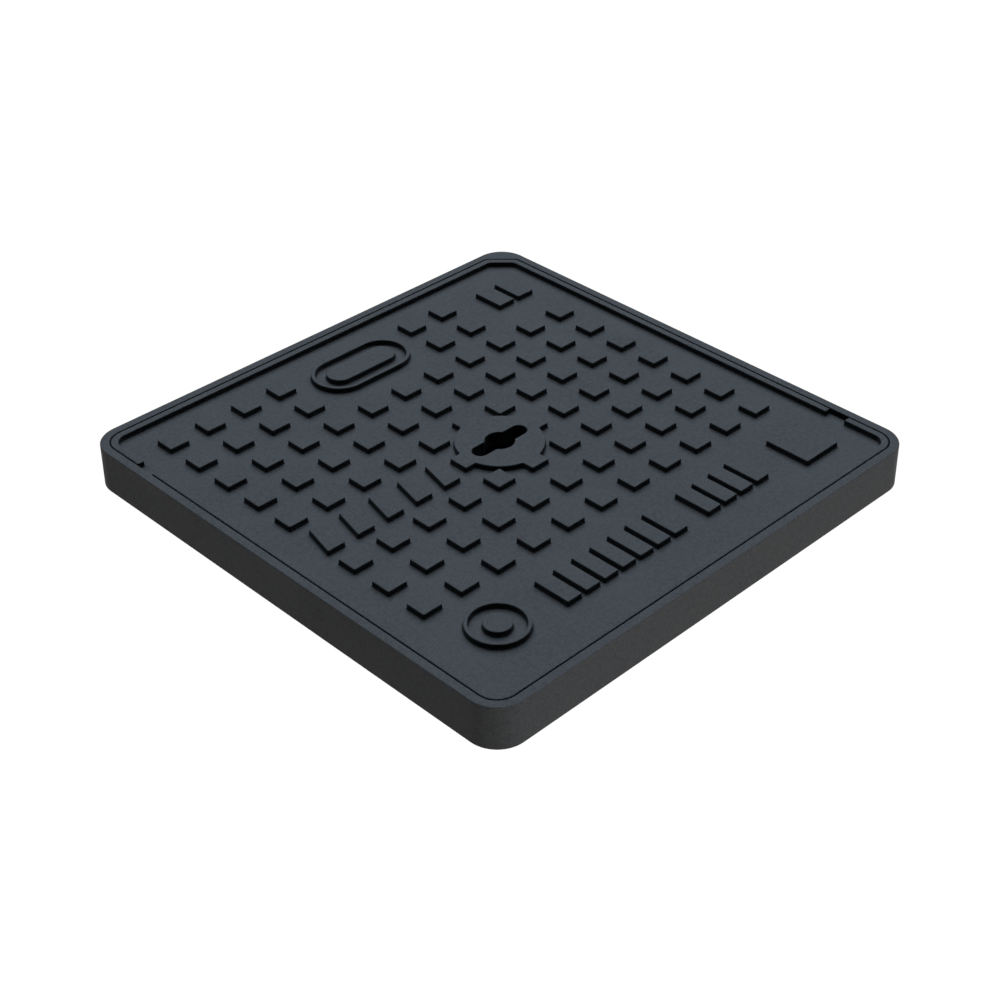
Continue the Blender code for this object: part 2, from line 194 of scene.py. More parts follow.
# Stage: directions are an azimuth and an elevation in degrees
CAMERA_DIRECTION = (-45, 35.264)
CAMERA_PLACE = (-0.75475, -0.76818, 0.74949)
CAMERA_SHIFT = (-0.01357, -0.0073)
LENS = 68.05                        # in millimetres, as the sensor is
SENSOR = 36
NEAREST = 0.05                      # clipping distances
FARTHEST = 50
KEY_LIGHT = (135, 57)               # directions that the two lights come from
KEY_STRENGTH = 6.4
KEY_COLOUR = (0.74, 0.864, 0.98)
KEY_SPREAD = radians(66)
LOW_LIGHT = (10, 0.15)
LOW_STRENGTH = 2.22
LOW_SPREAD = radians(0.1)
WHITE = (1, 1, 1)
TABLE_HALF = 10                     # past the edge of every view
TABLE_DROP = 0.3 * MM               # below the frame's bottom face
TABLE_COLOUR = (1.0, 0.985, 0.975, 1)
TABLE_STRENGTH = 1.04

# Blender's own numbers
CDT_INSIDE = 1                      # delaunay_2d_cdt keeps the triangles inside the outlines
CDT_TOLERANCE = 1e-9
MIX_A, MIX_B, MIX_RESULT = 6, 7, 2  # the colour sockets of a Mix node


# ---------------------------------------------------------------- outlines, all anticlockwise

def rounded(corners, radii):
    """A closed outline through the corners, each rounded with its radius. A radius of 0 keeps the point."""
    points = []
    for i, (corner, radius) in enumerate(zip(corners, radii)):
        here = Vector(corner)
        if radius == 0:
            points.append(here)
            continue
        back = (Vector(corners[i - 1]) - here).normalized()
        ahead = (Vector(corners[(i + 1) % len(corners)]) - here).normalized()
        half_angle = back.angle(ahead) / 2
        centre = here + (back + ahead).normalized() * (radius / sin(half_angle))
        start = here + back * (radius / tan(half_angle)) - centre
        turn = pi - 2 * half_angle
        if back.cross(ahead) > 0:
            turn = -turn
        steps = arc_steps(radius, turn)
        points += [centre + turned(start, turn * step / steps) for step in range(steps + 1)]
    return points


def arc_steps(radius, turn):
    """How many chords an arc takes."""
    step = min(LONGEST_TURN, 2 * acos(max(0, 1 - ARC_ERROR / radius)))
    return max(2, ceil(abs(turn) / step))


def turned(vector, angle):
    x = vector.x * cos(angle) - vector.y * sin(angle)
    y = vector.x * sin(angle) + vector.y * cos(angle)
    return Vector((x, y))


def turned_copies(shape, count):
    """An outline of equal parts round the origin. The shape is one part's corners and their radii."""
    copies = []
    for number in range(count):
        copies += [(turned(point, 2 * pi * number / count), radius) for point, radius in shape]
    points, radii = zip(*copies)
    return rounded(points, radii)


def grown(outline, distance):
    """The outline moved outwards by a distance."""
    if distance == 0:
        return list(outline)
    points = []
    for i, point in enumerate(outline):
        back = (point - outline[i - 1]).normalized()
        ahead = (outline[(i + 1) % len(outline)] - point).normalized()
        out_back = Vector((back.y, -back.x))
        out_ahead = Vector((ahead.y, -ahead.x))
        points.append(point + (out_back + out_ahead) * (distance / (1 + out_back.dot(out_ahead))))
    return points


def moved(outline, x, y):
    return [point + Vector((x, y)) for point in outline]


def box_outline(length, width, radius=PLAN_ROUNDING, slant=0.0):
    """A four-sided outline, its far edge moved along X by the slant."""
    x = length / 2
    y = width / 2
    s = slant / 2
    return rounded([(x + s, y), (-x + s, y), (-x - s, -y), (x - s, -y)], [radius] * 4)


def arc(centre, radius, start, end):
    steps = arc_steps(radius, end - start)
    angles = [start + (end - start) * step / steps for step in range(steps + 1)]
    return [Vector((centre[0] + radius * cos(angle), centre[1] + radius * sin(angle))) for angle in angles]


def circle(radius):
    return arc((0, 0), radius, 0, 2 * pi)[:-1]


def hexagon(flats):
    return [turned(Vector((flats / sqrt(3), 0)), corner * pi / 3) for corner in range(6)]


def stadium(length, width):
    """A bar along X with half-round ends."""
    centre = (length - width) / 2
    right = arc((centre, 0), width / 2, -pi / 2, pi / 2)
    return right + arc((-centre, 0), width / 2, pi / 2, 3 * pi / 2)


def keyed_square(half):
    """The well's outline at a half side: round corners, and one cut off at 45 degrees."""
    shift = half - WELL_HALF
    radius = WELL_RADIUS + shift
    key = WELL_KEY + (2 - sqrt(2)) * shift
    corners = [(half, half - key), (half - key, half), (-half, half), (-half, -half), (half, -half)]
    return rounded(corners, [KEY_ROUNDING, KEY_ROUNDING, radius, radius, radius])


def key_outline():
    """A slot with round ends and a round hole in its middle."""
    x = sqrt(KEY_HOLE_RADIUS ** 2 - (KEY_WIDTH / 2) ** 2)
    spread = asin(KEY_WIDTH / 2 / KEY_HOLE_RADIUS)
    tip = arc(((KEY_LENGTH - KEY_WIDTH) / 2, 0), KEY_WIDTH / 2, -pi / 2, pi / 2)
    side = arc((0, 0), KEY_HOLE_RADIUS, spread, pi - spread)[1:-1]
    shape = [(point, 0) for point in tip]
    shape.append((Vector((x, KEY_WIDTH / 2)), KEY_CORNER))
    shape += [(point, 0) for point in side]
    shape.append((Vector((-x, KEY_WIDTH / 2)), KEY_CORNER))
    return turned_copies(shape, 2)


def boss_outline():
    """The round boss with the four studs that grow out of it."""
    half = STUD / 2
    x = sqrt(BOSS_RADIUS ** 2 - half ** 2)
    spread = asin(half / BOSS_RADIUS)
    shape = [
        (Vector((x, -half)), BOSS_CORNER),
        (Vector((PITCH + half, -half)), PLAN_ROUNDING),
        (Vector((PITCH + half, half)), PLAN_ROUNDING),
        (Vector((x, half)), BOSS_CORNER),
    ]
    shape += [(point, 0) for point in arc((0, 0), BOSS_RADIUS, spread, pi / 2 - spread)[1:-1]]
    return turned_copies(shape, 4)


# ---------------------------------------------------------------- edge profiles: (growth, height, edge)

def side_steps(low, high, lean=LEAN, foot=FOOT, crest=CREST, foot_edge=-1, crest_edge=1):
    """The side of a raised shape, or of a hollow: a fillet, a leaning wall, a rounding.

    A foot below 0 is a rounded lower edge, and a crest below 0 is a fillet. The third value marks worn
    edges with up to 1, and corners that get painted shade with down to -1.
    """
    steps = [(foot * (1 - sin(angle)), low + abs(foot) * (1 - cos(angle)), foot_edge * sin(2 * angle))
             for angle in QUARTER]
    steps += [(-crest * (1 - cos(angle)), high - abs(crest) * (1 - sin(angle)), crest_edge * sin(2 * angle))
              for angle in QUARTER]
    return [(growth + lean * (0.5 - (z - low) / (high - low)), z, edge) for growth, z, edge in steps]


def through_steps(top, bottom, crest):
    """The wall of a hole, from its rounded upper edge down to its lower edge."""
    steps = [(crest * (1 - sin(angle)), top - crest * (1 - cos(angle)), sin(2 * angle))
             for angle in QUARTER]
    return steps + [(0, bottom, 0)]


def inward(steps):
    """The same profile for a wall that faces the middle of its outline."""
    return [(-growth, z, edge) for growth, z, edge in steps]


def set_back(steps, distance):
    """The same profile, moved in by a distance."""
    return [(growth - distance, z, edge) for growth, z, edge in steps]


# ---------------------------------------------------------------- mesh building

class Solid:
    """A closed mesh put together from loops, walls and flat faces."""

    def __init__(self):
        self.bm = bmesh.new()
        self.edge = self.bm.verts.layers.float.new("edge")

    def loop(self, outline, z, edge):
        verts = [self.bm.verts.new((point.x, point.y, z)) for point in outline]
        for vert in verts:
            vert[self.edge] = edge
        return verts

    def walls(self, outline, steps, closed=False):
        """Loops at each (growth, height, edge), joined in turn. Returns the first and the last loop."""
        loops = [self.loop(grown(outline, growth), z, edge) for growth, z, edge in steps]
        pairs = list(zip(loops, loops[1:]))
        if closed:
            pairs.append((loops[-1], loops[0]))
        for lower, upper in pairs:
            self.join(lower, upper)
        return loops[0], loops[-1]

    def join(self, lower, upper):
        for i in range(len(lower)):
            self.bm.faces.new((lower[i - 1], lower[i], upper[i], upper[i - 1]))

    def flat(self, outer, holes=()):
        """A flat face inside the outer loop, with holes. A triangle in a hole has two outlines round it."""
        verts = []
        outlines = []
        for loop in (outer, *holes):
            outlines.append(range(len(verts), len(verts) + len(loop)))
            verts += loop
        places = [vert.co.xy for vert in verts]
        result = delaunay_2d_cdt(places, [], outlines, CDT_INSIDE, CDT_TOLERANCE)
        _, _, triangles, sources, _, covers = result
        for triangle, cover in zip(triangles, covers):
            if cover == [0]:
                self.bm.faces.new([verts[sources[i][0]] for i in triangle])

    def finish(self, name, material):
        bmesh.ops.recalc_face_normals(self.bm, faces=self.bm.faces[:])
        mesh = bpy.data.meshes.new(name)
        self.bm.to_mesh(mesh)
        self.bm.free()
        mesh.shade_smooth()
        mesh.materials.append(material)
        obj = bpy.data.objects.new(name, mesh)
        bpy.context.scene.collection.objects.link(obj)
        return obj


def keep_flats_flat(obj):
    """Hard edges where faces meet sharply, and large flat faces that stay flat beside rounded edges."""
    obj.data.set_sharp_from_angle(angle=SHARP_ANGLE)
    modifier = obj.modifiers.new("weighted_normals", "WEIGHTED_NORMAL")
    modifier.keep_sharp = True


# ---------------------------------------------------------------- cover

def add_raised(part, outline):
    """A raised shape with a flat top. Returns its foot, a hole in the plate."""
    foot, crest = part.walls(outline, side_steps(PLATE_TOP, TOP))
    part.flat(crest)
    return foot


def add_banded_mark(part, outlines, place):
    """A raised band round a raised middle, from those three outlines. Returns the band's outer foot."""
    outer, inner, middle = [moved(outline, *place) for outline in outlines]
    outer_foot, outer_crest = part.walls(outer, side_steps(PLATE_TOP, TOP))
    inner_foot, inner_crest = part.walls(inner, inward(side_steps(PLATE_TOP, TOP)))
    part.flat(outer_crest, [inner_crest])
    part.flat(inner_foot, [add_raised(part, middle)])
    return outer_foot


def stud_places():
    """The lattice of studs, without the places of the boss, the bars, the oval and the blocks."""
    places = []
    for column in STUD_COLUMNS:
        for row in STUD_ROWS:
            boss = abs(column) + abs(row) <= 1
            bars = row == 0 and column <= -2
            oval = row >= 4 and abs(column) <= 1
            blocks = row >= 4 and column >= 4
            if not (boss or bars or oval or blocks):
                places.append((column * PITCH, row * PITCH))
    return places


def in_pitches(values):
    return [value * PITCH for value in values]


def add_marks(part):
    """Plain raised shapes with no lettering. Returns their feet."""
    feet = []
    block = box_outline(*in_pitches(LINE_BLOCK))
    for number in range(LINE_PLACES):
        if number != LINE_SPACE:
            x = (LINE_START + (number + 0.5) * LINE_SPACING) * PITCH
            feet.append(add_raised(part, moved(block, x, LINE_ROW * PITCH)))
    bar = box_outline(*in_pitches(BAR), slant=BAR_SLANT * PITCH)
    for number in range(BAR_COUNT):
        feet.append(add_raised(part, moved(bar, (BAR_START + BAR_SPACING * number) * PITCH, 0)))
    corner_block = box_outline(*in_pitches(CORNER_BLOCK))
    for column in CORNER_BLOCK_COLUMNS:
        feet.append(add_raised(part, moved(corner_block, column * PITCH, CORNER_BLOCK_ROW * PITCH)))
    feet.append(add_raised(part, moved(box_outline(*in_pitches(PAD)), *in_pitches(PAD_PLACE))))
    ring = [circle(radius) for radius in in_pitches(RING)]
    feet.append(add_banded_mark(part, ring, in_pitches(RING_PLACE)))
    oval = [stadium(*in_pitches(size)) for size in OVAL]
    feet.append(add_banded_mark(part, oval, in_pitches(OVAL_PLACE)))
    return feet


def build_cover(material):
    """One casting: border, boss with the keyhole, studs and marks, with the skirt and ribs below."""
    part = Solid()
    border_inner = keyed_square(COVER_HALF - BORDER)
    plate_rim, inner_crest = part.walls(border_inner, inward(side_steps(PLATE_TOP, TOP)))
    skirt_steps = side_steps(SKIRT_BOTTOM, TOP, lean=-COVER_LEAN, foot=-LOWER_EDGE, crest=COVER_CREST,
                             foot_edge=1)
    skirt_edge, outer_crest = part.walls(keyed_square(COVER_HALF), set_back(skirt_steps, COVER_LEAN / 2))
    part.flat(outer_crest, [inner_crest])
    boss_foot, boss_crest = part.walls(boss_outline(), side_steps(PLATE_TOP, TOP))
    key_top, key_bottom = part.walls(key_outline(), through_steps(TOP, PLATE_BOTTOM, KEYHOLE_CREST))
    part.flat(boss_crest, [key_top])
    stud = box_outline(STUD, STUD)
    feet = [add_raised(part, moved(stud, *place)) for place in stud_places()]
    part.flat(plate_rim, [boss_foot, *feet, *add_marks(part)])
    add_underside(part, skirt_edge, key_bottom)
    cover = part.finish("cover_casting", material)
    cut_notches(cover)
    keep_flats_flat(cover)
    return cover


def add_underside(part, skirt_edge, key_bottom):
    """The skirt and ribs, which are what is left between nine drafted hollows."""
    pitch = (2 * SKIRT_INNER + RIB) / len(HOLLOW_PLACES)
    mouth = box_outline(pitch - RIB, pitch - RIB, HOLLOW_RADIUS)
    steps = side_steps(SKIRT_BOTTOM, PLATE_BOTTOM, lean=HOLLOW_LEAN, foot=HOLLOW_MOUTH, crest=HOLLOW_ROOF,
                       foot_edge=1, crest_edge=-1)
    mouths = []
    for column in HOLLOW_PLACES:
        for row in HOLLOW_PLACES:
            lower, roof = part.walls(moved(mouth, column * pitch, row * pitch), steps)
            mouths.append(lower)
            holes = [key_bottom, *add_screw_holes(part)] if column == row == 0 else []
            part.flat(roof, holes)
    part.flat(skirt_edge, mouths)


def screw_place(number):
    """A screw's centre, read from its CAD box."""
    low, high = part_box(f"cup_screw_{number}")
    return (low.x + high.x) / 2, (low.y + high.y) / 2


def add_screw_holes(part):
    """Blind holes in the roof of the middle hollow. Returns their mouths."""
    mouths = []
    for number in SCREWS:
        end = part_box(f"cup_screw_{number}")[1].z + FIT
        hole = moved(circle(SCREW_HOLE_RADIUS), *screw_place(number))
        mouth, blind_end = part.walls(hole, [(0, PLATE_BOTTOM, 0), (0, end, 0)])
        part.flat(blind_end)
        mouths.append(mouth)
    return mouths


def cut_notches(cover):
    """Two lifting notches through the border, with rounded upper edges."""
    part = Solid()
    inner = COVER_HALF - BORDER - FOOT - LEAN
    length = 4 * BORDER             # reaches well past the skirt
    slot = box_outline(length, NOTCH_WIDTH)
    steps = [(0, NOTCH_FLOOR, 0), (0, TOP - CREST, 0)]
    steps += [(CREST * (1 - cos(angle)), TOP - CREST * (1 - sin(angle)), sin(2 * angle))
              for angle in QUARTER[1:]]
    steps.append((CREST, TOP + NOTCH_CUTTER_REACH, 0))
    for side in (1, -1):
        bottom, top = part.walls(moved(slot, side * (inner + length / 2), -side * NOTCH_PLACE), steps)
        part.flat(bottom)
        part.flat(top)
    cutter = part.finish("notch_cutter", cover.data.materials[0])
    apply_difference(cover, cutter)


def apply_difference(obj, cutter):
    """Cut the object with the cutter, which is then removed."""
    modifier = obj.modifiers.new("cut", "BOOLEAN")
    modifier.operation = "DIFFERENCE"
    modifier.solver = "EXACT"
    modifier.object = cutter
    bpy.context.view_layer.update()
    depsgraph = bpy.context.evaluated_depsgraph_get()
    cut_mesh = bpy.data.meshes.new_from_object(obj.evaluated_get(depsgraph))
    obj.modifiers.clear()
    old_mesh = obj.data
    obj.data = cut_mesh
    cut_mesh.name = obj.name
    bpy.data.meshes.remove(old_mesh)
    bpy.data.objects.remove(cutter)


# ---------------------------------------------------------------- frame and gasket

def build_frame(material):
    """One casting: outer wall, rim, well, seat with a groove, clear opening and mortar pockets."""
    part = Solid()
    base = box_outline(2 * BASE_HALF, 2 * BASE_HALF, BASE_RADIUS)
    wall_steps = side_steps(GROUND, TOP, lean=WALL_LEAN, foot=-LOWER_EDGE, crest=RIM_CREST, foot_edge=1)
    foot, rim_outer = part.walls(base, set_back(wall_steps, WALL_LEAN / 2))
    well_steps = through_steps(TOP, SEAT_TOP + FOOT, WELL_CREST)[:-1]
    well_steps += [(-FOOT * (1 - cos(angle)), SEAT_TOP + FOOT * (1 - sin(angle)), -sin(2 * angle))
                   for angle in QUARTER]
    rim_inner, seat_outer = part.walls(keyed_square(WELL_HALF), well_steps)
    part.flat(rim_outer, [rim_inner])
    groove_steps = [(0, SEAT_TOP, 0), (0, GROOVE_FLOOR, 0)]
    groove_outer, floor_outer = part.walls(keyed_square(GROOVE_OUTER), groove_steps)
    groove_inner, floor_inner = part.walls(keyed_square(GROOVE_INNER), groove_steps)
    part.flat(seat_outer, [groove_outer])
    part.flat(floor_outer, [floor_inner])
    clear = box_outline(2 * CLEAR_HALF, 2 * CLEAR_HALF, CLEAR_RADIUS)
    lip_steps = side_steps(GROUND, SEAT_TOP, lean=0, foot=LOWER_EDGE, crest=-LOWER_EDGE, foot_edge=1)
    lip_bottom, lip_top = part.walls(clear, lip_steps)
    part.flat(groove_inner, [lip_top])
    part.flat(foot, [lip_bottom, *add_mortar_pockets(part)])
    casting = part.finish("frame_casting", material)
    keep_flats_flat(casting)
    return casting


def add_mortar_pockets(part):
    """Shallow hollows in the frame's underside. Returns their mouths."""
    inner = CLEAR_HALF + LIP
    outer = BASE_HALF - BASE_WALL
    middle = (inner + outer) / 2
    flat = box_outline(MORTAR_LENGTH, outer - inner, MORTAR_RADIUS)
    upright = box_outline(outer - inner, MORTAR_LENGTH, MORTAR_RADIUS)
    steps = side_steps(GROUND, GROUND + MORTAR_DEPTH, lean=MORTAR_LEAN, foot=LOWER_EDGE, crest=MORTAR_ROOF,
                       foot_edge=1, crest_edge=-1)
    mouths = []
    for number in range(MORTAR_POCKETS):
        along = (number - (MORTAR_POCKETS - 1) / 2) * MORTAR_SPACING
        for side in (-1, 1):
            for outline in (moved(flat, along, side * middle), moved(upright, side * middle, along)):
                mouth, roof = part.walls(outline, steps)
                part.flat(roof)
                mouths.append(mouth)
    return mouths


def build_gasket(material):
    """A rubber ring whose top has a sealing ridge along its middle, between two shallow troughs."""
    low = GASKET_LOW.z
    high = GASKET_HIGH.z
    outer = GASKET_HIGH.x
    width = outer - (GROOVE_INNER + FIT)
    profile = [
        (0, low + GASKET_CHAMFER),
        (-GASKET_CHAMFER, low),
        (GASKET_CHAMFER - width, low),
        (-width, low + GASKET_CHAMFER),
        (-width, high - GASKET_SIDE),
    ]
    for step in range(GASKET_STEPS + 1):
        across = step / GASKET_STEPS
        from_middle = 2 * across - 1
        ridge = GASKET_RIDGE * (1 + cos(4 * pi * across)) / 2 * (1 - from_middle ** 4)
        shoulder = GASKET_SHOULDER * (1 - (1 - from_middle ** 8) ** 0.5)
        trough = GASKET_RIDGE * (1 - from_middle ** 2)
        profile.append((-width + width * across, high - shoulder - trough + ridge))
    profile.append((0, high - GASKET_SIDE))
    part = Solid()
    part.walls(keyed_square(outer), [(growth, z, 0) for growth, z in profile], closed=True)
    return part.finish("gasket_ring", material)


# ---------------------------------------------------------------- key cup and screws

def build_key_cup(material):
    """A blind moulded cup with a flange, held by four screws."""
    part = Solid()
    flange_low = CUP_HIGH.z - CUP_FLANGE
    outside = side_steps(CUP_LOW.z, flange_low, lean=0, foot=-CUP_FLOOR_ROUNDING, crest=-CUP_ROOT,
                         foot_edge=0, crest_edge=0)
    floor_edge, root = part.walls(circle(CUP_RADIUS), outside)
    part.flat(floor_edge)
    inside = side_steps(CUP_LOW.z + CUP_WALL, CUP_HIGH.z, lean=-CUP_LEAN, foot=-CUP_FLOOR_ROUNDING,
                        crest=-CUP_LIP, foot_edge=0)
    inner_floor, mouth = part.walls(circle(CUP_RADIUS - CUP_WALL), inside)
    part.flat(inner_floor)
    rim_steps = side_steps(flange_low, CUP_HIGH.z, lean=0, foot=-CUP_LIP, crest=CUP_LIP, foot_edge=0)
    rim_low, rim_high = part.walls(circle(CUP_HIGH.x), rim_steps)
    holes = [moved(circle(SCREW_HOLE_RADIUS), *screw_place(number)) for number in SCREWS]
    ends = [part.walls(hole, [(0, flange_low, 0), (0, CUP_HIGH.z, 0)]) for hole in holes]
    part.flat(rim_low, [root, *[low for low, _ in ends]])
    part.flat(rim_high, [mouth, *[high for _, high in ends]])
    cup = part.finish("key_cup_moulding", material)
    keep_flats_flat(cup)
    return cup


def build_screw(number, material):
    """A hexagon-head screw with a washer face, head down."""
    low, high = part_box(f"cup_screw_{number}")
    place = screw_place(number)
    bearing = low.z + SCREW_HEAD
    part = Solid()
    head_steps = [(growth, low.z + height, edge) for growth, height, edge in HEAD_CHAMFER]
    head_steps.append((0, bearing - WASHER, 0))
    head_bottom, head_top = part.walls(moved(hexagon(HEAD_FLATS), *place), head_steps)
    part.flat(head_bottom)
    washer_steps = [(-WASHER_CHAMFER, bearing - WASHER, 0), (0, bearing - WASHER_RIM, 1), (0, bearing, 0)]
    washer_low, washer_high = part.walls(moved(circle(WASHER_RADIUS), *place), washer_steps)
    part.flat(washer_low, [head_top])
    shank_steps = [(0, bearing, 0)]
    for turn in range(THREAD_TURNS):
        z = bearing + (turn + 0.5) * (high.z - bearing - TIP) / THREAD_TURNS
        shank_steps += [(-THREAD_DEPTH, z, -1), (0, z + THREAD_FLANK, 1)]
    shank_steps.append((-TIP_CHAMFER, high.z, 0))
    shank_root, tip = part.walls(moved(circle(SHANK_RADIUS), *place), shank_steps)
    part.flat(washer_high, [shank_root])
    part.flat(tip)
    screw = part.finish(f"cup_screw_{number}_detailed", material)
    keep_flats_flat(screw)
    return screw


# ---------------------------------------------------------------- materials

class Nodes:
    """Short calls for building a material's node tree."""

    def __init__(self, name):
        self.material = bpy.data.materials.new(name)
        self.material.use_nodes = True
        self.tree = self.material.node_tree
        self.shader = self.tree.nodes["Principled BSDF"]
        self.coordinates = self.add("ShaderNodeTexCoord").outputs["Object"]

    def add(self, kind, **settings):
        node = self.tree.nodes.new(kind)
        for key, value in settings.items():
            setattr(node, key, value)
        return node

    def put(self, socket, value):
        """Link the value to the socket, or set it there if it is a plain one."""
        if isinstance(value, bpy.types.NodeSocket):
            self.tree.links.new(value, socket)
        else:
            socket.default_value = value

    def noise(self, size, detail=2.0, roughness=0.5):
        """Noise from 0 to 1 whose features are about one size wide, in metres."""
        node = self.add("ShaderNodeTexNoise")
        self.put(node.inputs["Vector"], self.coordinates)
        self.put(node.inputs["Scale"], 1 / size)
        self.put(node.inputs["Detail"], detail)
        self.put(node.inputs["Roughness"], roughness)
        return node.outputs["Fac"]

    def spots(self, size, reach):
        """1 in the middle of scattered round spots, 0 away from them."""
        node = self.add("ShaderNodeTexVoronoi")
        self.put(node.inputs["Vector"], self.coordinates)
        self.put(node.inputs["Scale"], 1 / size)
        return self.remap(node.outputs["Distance"], 0, reach, 1, 0)

    def remap(self, value, low, high, to_low, to_high):
        """The value's range from low to high, stretched to to_low to to_high and held at its ends."""
        node = self.add("ShaderNodeMapRange")
        for name, number in (("Value", value), ("From Min", low), ("From Max", high), ("To Min", to_low),
                             ("To Max", to_high)):
            self.put(node.inputs[name], number)
        return node.outputs["Result"]

    def math(self, operation, a, b):
        node = self.add("ShaderNodeMath", operation=operation)
        self.put(node.inputs[0], a)
        self.put(node.inputs[1], b)
        return node.outputs["Value"]

    def mix(self, factor, a, b):
        """Between two colours."""
        node = self.add("ShaderNodeMix", data_type="RGBA")
        self.put(node.inputs["Factor"], factor)
        self.put(node.inputs[MIX_A], a)
        self.put(node.inputs[MIX_B], b)
        return node.outputs[MIX_RESULT]

    def edge(self):
        """The mesh's own edge mark: 1 on worn edges, -1 in corners, 0 on flats."""
        return self.add("ShaderNodeAttribute", attribute_name="edge").outputs["Fac"]

    def bump(self, height, depth, below=None):
        """Bumps as deep as the depth, in metres, for a height from 0 to 1."""
        node = self.add("ShaderNodeBump")
        self.put(node.inputs["Height"], height)
        self.put(node.inputs["Distance"], depth)
        if below is not None:
            self.put(node.inputs["Normal"], below)
        return node.outputs["Normal"]

    def finish(self, colour, roughness, normal, metallic=0.0):
        self.put(self.shader.inputs["Base Color"], colour)
        self.put(self.shader.inputs["Roughness"], roughness)
        self.put(self.shader.inputs["Normal"], normal)
        self.put(self.shader.inputs["Metallic"], metallic)
        return self.material


def grey(level, blue=0.0):
    """A grey, made bluish by that share."""
    return (level * (1 - blue), level, level * (1 + blue), 1.0)


def coated_iron():
    """Black bitumen paint over a fine sand casting: grain, faint blotches, pits, rubbed edges, and painted
    shade in corners.
    """
    dark_coat = grey(0.029, 0.03)
    light_coat = grey(0.0335, 0.04)
    peel_shade = grey(0.025, 0.035)
    grain_light = grey(0.044, 0.04)
    rubbed_iron = grey(0.06, 0.02)
    corner_shade_colour = grey(0.012)
    pit_shade = grey(0.02)
    paint = Nodes("coated_iron")
    paint.put(paint.shader.inputs["Specular IOR Level"], 0.05)
    grain = paint.noise(0.9 * MM, detail=3)
    peel = paint.noise(3.5 * MM, detail=2)
    blotches = paint.noise(45 * MM, detail=4, roughness=0.6)
    pits = paint.spots(6 * MM, 0.12)
    colour = paint.mix(paint.remap(blotches, 0.3, 0.7, 0, 1), dark_coat, light_coat)
    colour = paint.mix(paint.remap(peel, 0.42, 0.58, 0, 0.9), colour, peel_shade)
    colour = paint.mix(paint.remap(grain, 0.4, 0.65, 0, 0.8), colour, grain_light)
    worn = paint.remap(paint.edge(), 0.2, 1, 0, 1)
    rubbed = paint.math("MULTIPLY", worn, paint.remap(peel, 0.35, 0.6, 0.15, 0.9))
    colour = paint.mix(paint.math("MULTIPLY", rubbed, 0.25), colour, rubbed_iron)
    # Painted shade: fillets and corners marked -1 are darkened towards near black.
    painted_corner_shade = paint.remap(paint.edge(), 0, -1, 0, 0.6)
    colour = paint.mix(painted_corner_shade, colour, corner_shade_colour)
    colour = paint.mix(paint.math("MULTIPLY", pits, 0.4), colour, pit_shade)
    roughness = paint.remap(blotches, 0.3, 0.7, 0.56, 0.68)
    roughness = paint.math("ADD", roughness, paint.remap(grain, 0.3, 0.7, -0.05, 0.05))
    normal = paint.bump(peel, 0.1 * MM)
    normal = paint.bump(grain, 0.07 * MM, normal)
    normal = paint.bump(paint.math("MULTIPLY", pits, -1), 0.15 * MM, normal)
    return paint.finish(colour, roughness, normal)


def gasket_rubber():
    """Matt black extruded rubber with a fine bloom."""
    rubber = Nodes("gasket_rubber")
    bloom = rubber.noise(12 * MM, detail=4)
    fine = rubber.noise(0.6 * MM)
    colour = rubber.mix(rubber.remap(bloom, 0.35, 0.7, 0, 1), grey(0.016), grey(0.03))
    roughness = rubber.remap(bloom, 0.3, 0.7, 0.75, 0.9)
    return rubber.finish(colour, roughness, rubber.bump(fine, 0.03 * MM))


def cup_plastic():
    """Black moulded plastic with a spark-eroded texture and a little dust."""
    plastic = Nodes("cup_plastic")
    texture = plastic.noise(0.5 * MM, detail=2)
    dust = plastic.noise(9 * MM, detail=4)
    colour = plastic.mix(plastic.remap(dust, 0.4, 0.75, 0, 0.6), grey(0.010), grey(0.022))
    roughness = plastic.remap(dust, 0.3, 0.7, 0.42, 0.6)
    return plastic.finish(colour, roughness, plastic.bump(texture, 0.03 * MM))


def screw_steel():
    """Stainless steel, slightly stained, with a fine turned texture and painted shade in the thread roots.
    """
    clean_steel = (0.50, 0.49, 0.47, 1)
    stained_steel = (0.38, 0.36, 0.33, 1)
    steel = Nodes("screw_steel")
    turning = steel.noise(0.25 * MM, detail=2)
    stain = steel.noise(2.5 * MM, detail=3)
    colour = steel.mix(steel.remap(stain, 0.35, 0.7, 0, 1), clean_steel, stained_steel)
    # Painted shade: the thread roots, marked -1, are darkened.
    colour = steel.mix(steel.remap(steel.edge(), 0, -1, 0, 0.7), colour, grey(0.08))
    roughness = steel.remap(stain, 0.3, 0.7, 0.28, 0.45)
    return steel.finish(colour, roughness, steel.bump(turning, 0.01 * MM), metallic=1.0)


# ---------------------------------------------------------------- stage

def look_axes(azimuth, elevation):
    """Right, up and back directions of a camera at that azimuth and elevation. Azimuth 0 looks along +Y."""
    around = radians(azimuth)
    above = radians(elevation)
    back = Vector((sin(around) * cos(above), -cos(around) * cos(above), sin(above)))
    right = Vector((cos(around), sin(around), 0))
    return right, back.cross(right), back


def add_camera():
    data = bpy.data.cameras.new("camera")
    camera = bpy.data.objects.new("camera", data)
    bpy.context.scene.collection.objects.link(camera)
    turn = Matrix(look_axes(*CAMERA_DIRECTION)).transposed().to_4x4()
    camera.matrix_world = Matrix.Translation(CAMERA_PLACE) @ turn
    data.sensor_width = SENSOR
    data.lens = LENS
    data.shift_x, data.shift_y = CAMERA_SHIFT
    data.clip_start = NEAREST
    data.clip_end = FARTHEST
    bpy.context.scene.camera = camera


def add_sun(name, strength, colour, spread, direction):
    """A distant light that comes from the direction."""
    data = bpy.data.lights.new(name, "SUN")
    data.energy = strength
    data.color = colour
    data.angle = spread
    sun = bpy.data.objects.new(name, data)
    bpy.context.scene.collection.objects.link(sun)
    _, _, back = look_axes(*direction)
    sun.rotation_euler = back.to_track_quat("Z", "Y").to_euler()


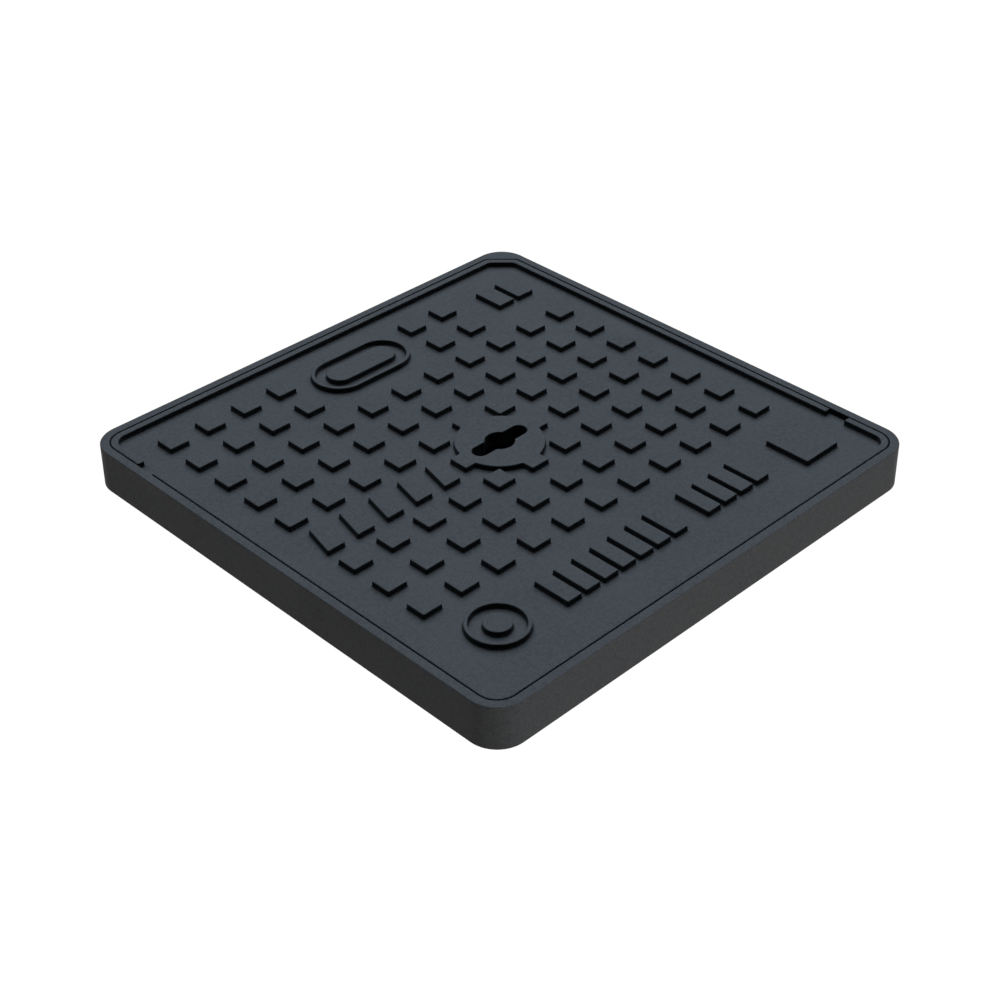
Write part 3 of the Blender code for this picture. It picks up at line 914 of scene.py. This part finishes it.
def add_lights():
    """A wide bluish light from +X +Y, a low one from -Y, and a white background that lights nothing."""
    add_sun("key", KEY_STRENGTH, KEY_COLOUR, KEY_SPREAD, KEY_LIGHT)
    add_sun("low", LOW_STRENGTH, WHITE, LOW_SPREAD, LOW_LIGHT)
    world = bpy.data.worlds.new("studio")
    bpy.context.scene.world = world
    world.use_nodes = True
    nodes = world.node_tree.nodes
    background = nodes["Background"]
    background.inputs["Color"].default_value = (*WHITE, 1)
    path = nodes.new("ShaderNodeLightPath")
    world.node_tree.links.new(path.outputs["Is Camera Ray"], background.inputs["Strength"])


def add_floor():
    """A white light table, so the walls are lit from below and no shadow falls on it.

    It can't be seen from underneath, and lies just clear of the frame's bottom face.
    """
    bm = bmesh.new()
    bmesh.ops.create_grid(bm, x_segments=1, y_segments=1, size=TABLE_HALF)
    mesh = bpy.data.meshes.new("floor")
    bm.to_mesh(mesh)
    bm.free()
    floor = bpy.data.objects.new("floor", mesh)
    floor.location.z = GROUND - TABLE_DROP
    bpy.context.scene.collection.objects.link(floor)
    table = Nodes("light_table")
    table.put(table.shader.inputs["Base Color"], grey(0))
    table.put(table.shader.inputs["Specular IOR Level"], 0.0)
    table.put(table.shader.inputs["Emission Color"], TABLE_COLOUR)
    table.put(table.shader.inputs["Emission Strength"], TABLE_STRENGTH)
    one_sided = table.add("ShaderNodeMixShader")
    table.put(one_sided.inputs["Fac"], table.add("ShaderNodeNewGeometry").outputs["Backfacing"])
    table.put(one_sided.inputs[1], table.shader.outputs["BSDF"])
    table.put(one_sided.inputs[2], table.add("ShaderNodeBsdfTransparent").outputs["BSDF"])
    table.put(table.tree.nodes["Material Output"].inputs["Surface"], one_sided.outputs["Shader"])
    mesh.materials.append(table.material)


# ---------------------------------------------------------------- assembly

def stand_for(piece, body, node):
    """Make the piece ride on the body in place of the CAD node, which is hidden."""
    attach(piece, body)
    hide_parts(node)


bpy.context.scene.view_settings.view_transform = "Standard"
iron = coated_iron()
steel = screw_steel()
stand_for(build_frame(iron), "frame_body", "frame")
stand_for(build_gasket(gasket_rubber()), "frame_body", "seat_gasket")
stand_for(build_cover(iron), "cover_body", "cover")
stand_for(build_key_cup(cup_plastic()), "cover_body", "key_cup")
for number in SCREWS:
    stand_for(build_screw(number, steel), "cover_body", f"cup_screw_{number}")
add_camera()
add_lights()
add_floor()
